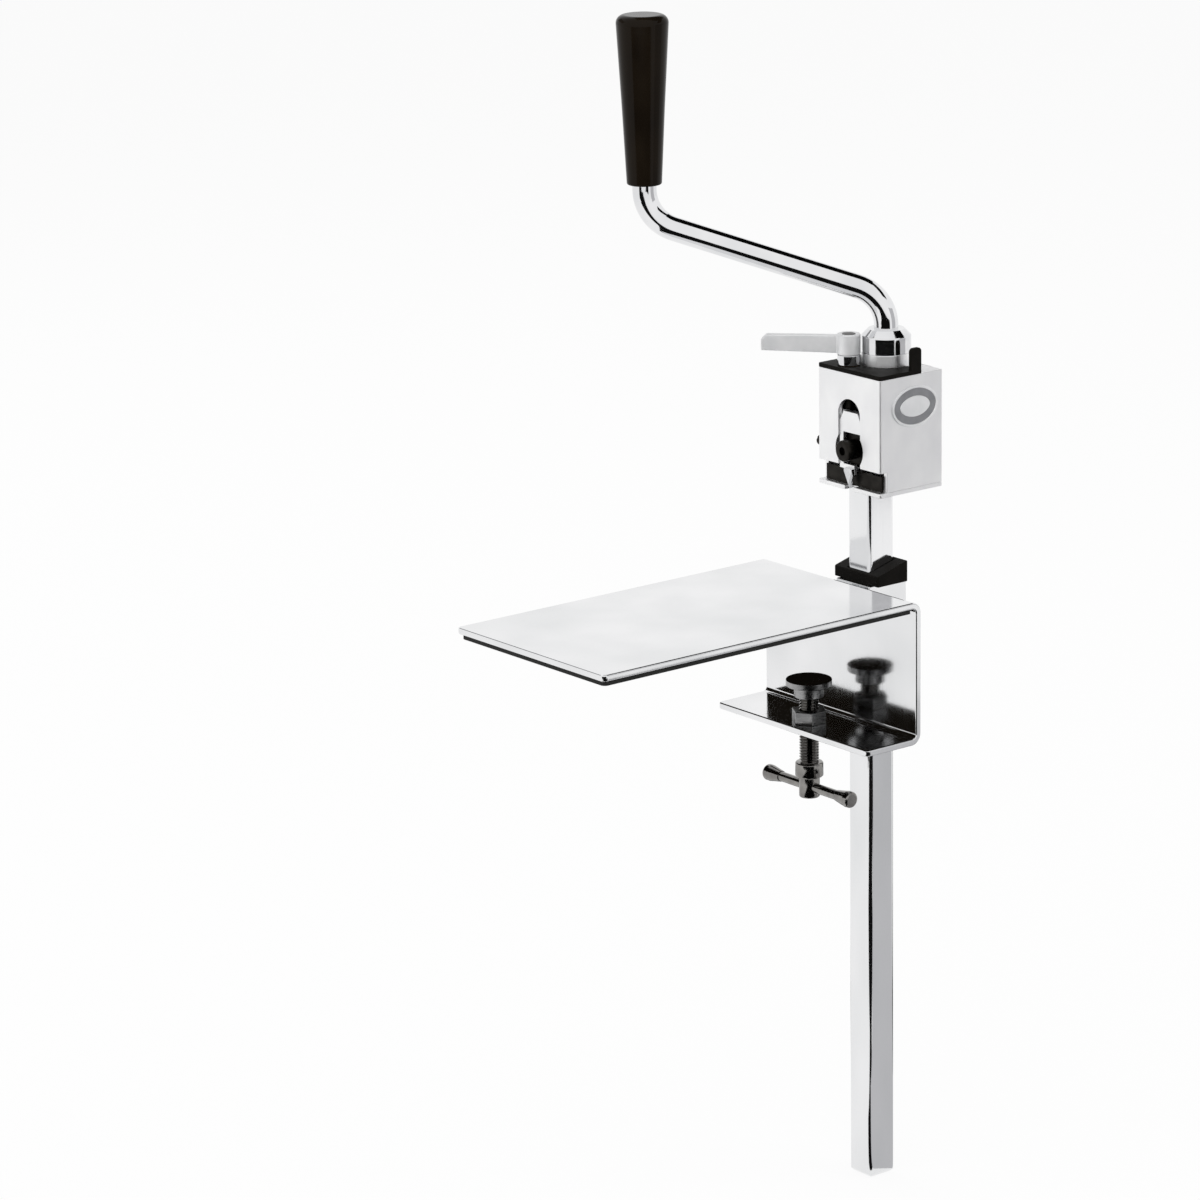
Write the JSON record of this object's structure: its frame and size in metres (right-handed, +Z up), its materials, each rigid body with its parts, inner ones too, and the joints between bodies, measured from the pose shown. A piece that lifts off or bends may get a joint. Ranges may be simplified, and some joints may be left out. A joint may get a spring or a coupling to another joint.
{
  "type": "bench can opener",
  "caption": "Bench can opener: a clamp-on base frame, a sliding square mast and a geared head with a crank, a feed wheel and a lever-worked knife.",
  "frame": {"origin": "on the clamp screw's axis, in the worktop's surface, at the underside of the rubber pad", "axes": "+Z up along the mast, +X from the plate towards the mast, +Y to the left of someone who faces the head from the plate's side, so that the frame is right-handed"},
  "size_m": [0.294, 0.1798, 0.7247],
  "materials": {
    "polished_steel": "mirror-polished stainless steel",
    "satin_steel": "satin stainless steel",
    "chromed_steel": "bright chrome plate",
    "bare_steel": "turned steel",
    "hard_steel": "blackened hardened steel",
    "bronze": "sintered bronze",
    "black_nylon": "black moulded nylon",
    "black_plastic": "black glossy moulded plastic",
    "rubber": "black sheet rubber"
  },
  "bodies": {
    "frame": {"base_frame": "polished_steel", "rubber_pad": "rubber", "clamp_nut": "bare_steel", "guide_tube": "bare_steel", "guide_spacer": "bare_steel", "upper_bush": "black_nylon", "lower_bush": "black_nylon"},
    "foot": {"pressure_foot": "bare_steel"},
    "screw": {"clamp_screw": "bare_steel"},
    "tommy": {"tommy_bar": "chromed_steel", "tommy_knob_back": "chromed_steel", "tommy_knob_front": "chromed_steel"},
    "head": {"mast": "polished_steel", "head_base": "satin_steel", "rim_stop": "hard_steel", "head_housing": "satin_steel", "head_lid": "satin_steel", "lever_plate": "black_nylon", "crank_bush": "bronze", "lever_bush": "bronze", "thrust_washer": "black_nylon", "front_bearing": "bronze", "rear_bearing": "bronze", "head_screws": "bare_steel"},
    "crank": {"crank_gear": "hard_steel", "crank_shaft": "hard_steel", "crank_flange": "satin_steel", "crank_hub": "chromed_steel", "crank_rod": "chromed_steel", "grip_spindle": "bare_steel", "spindle_clip": "bare_steel"},
    "grip": {"grip": "black_plastic", "grip_cap": "black_plastic"},
    "feed": {"feed_gear": "hard_steel", "feed_shaft": "hard_steel", "feed_wheel": "hard_steel", "wheel_screw": "bare_steel"},
    "knife": {"knife_carrier": "satin_steel", "knife": "bare_steel", "follower_pin": "hard_steel"},
    "lever": {"lever_shaft": "hard_steel", "lever_boss": "satin_steel", "lever_arm": "satin_steel"}
  },
  "joints": [
    {"name": "mast_slide", "type": "slide", "parent": "frame", "child": "head", "axis": [0, 0, 1], "range_m": [-0.042, 0.27]},
    {"name": "crank_spin", "type": "hinge", "parent": "head", "child": "crank", "pos_m": [0.0623, 0, 0.14], "axis": [0, 0, 1], "continuous": true},
    {"name": "feed_spin", "type": "hinge", "parent": "head", "child": "feed", "pos_m": [0.0623, 0, 0.086], "axis": [1, 0, 0], "continuous": true},
    {"name": "grip_spin", "type": "hinge", "parent": "crank", "child": "grip", "pos_m": [-0.04517, 0.09509, 0.29], "axis": [0, 0, 1], "continuous": true},
    {"name": "lever_swing", "type": "hinge", "parent": "head", "child": "lever", "pos_m": [0.042, 0.0107, 0.14], "axis": [0, 0, 1], "range_deg": [0, 80]},
    {"name": "knife_slide", "type": "slide", "parent": "head", "child": "knife", "axis": [0, 0, 1], "range_m": [-0.0001, 0.0031]},
    {"name": "foot_slide", "type": "slide", "parent": "frame", "child": "foot", "axis": [0, 0, 1], "range_m": [-0.0071, 0.0202]},
    {"name": "screw_turn", "type": "hinge", "parent": "foot", "child": "screw", "pos_m": [0, 0, -0.08], "axis": [0, 0, 1], "range_deg": [-1440, 4140]},
    {"name": "tommy_slide", "type": "slide", "parent": "screw", "child": "tommy", "axis": [0, 1, 0], "range_m": [-0.019, 0.019]}
  ],
  "couplings": [
    {"joint": "feed_spin", "follows": "crank_spin", "ratio": 1},
    {"joint": "knife_slide", "follows": "lever_swing", "m_per_rad": 0.0021486},
    {"joint": "foot_slide", "follows": "screw_turn", "m_per_rad": 0.00027852}
  ]
}
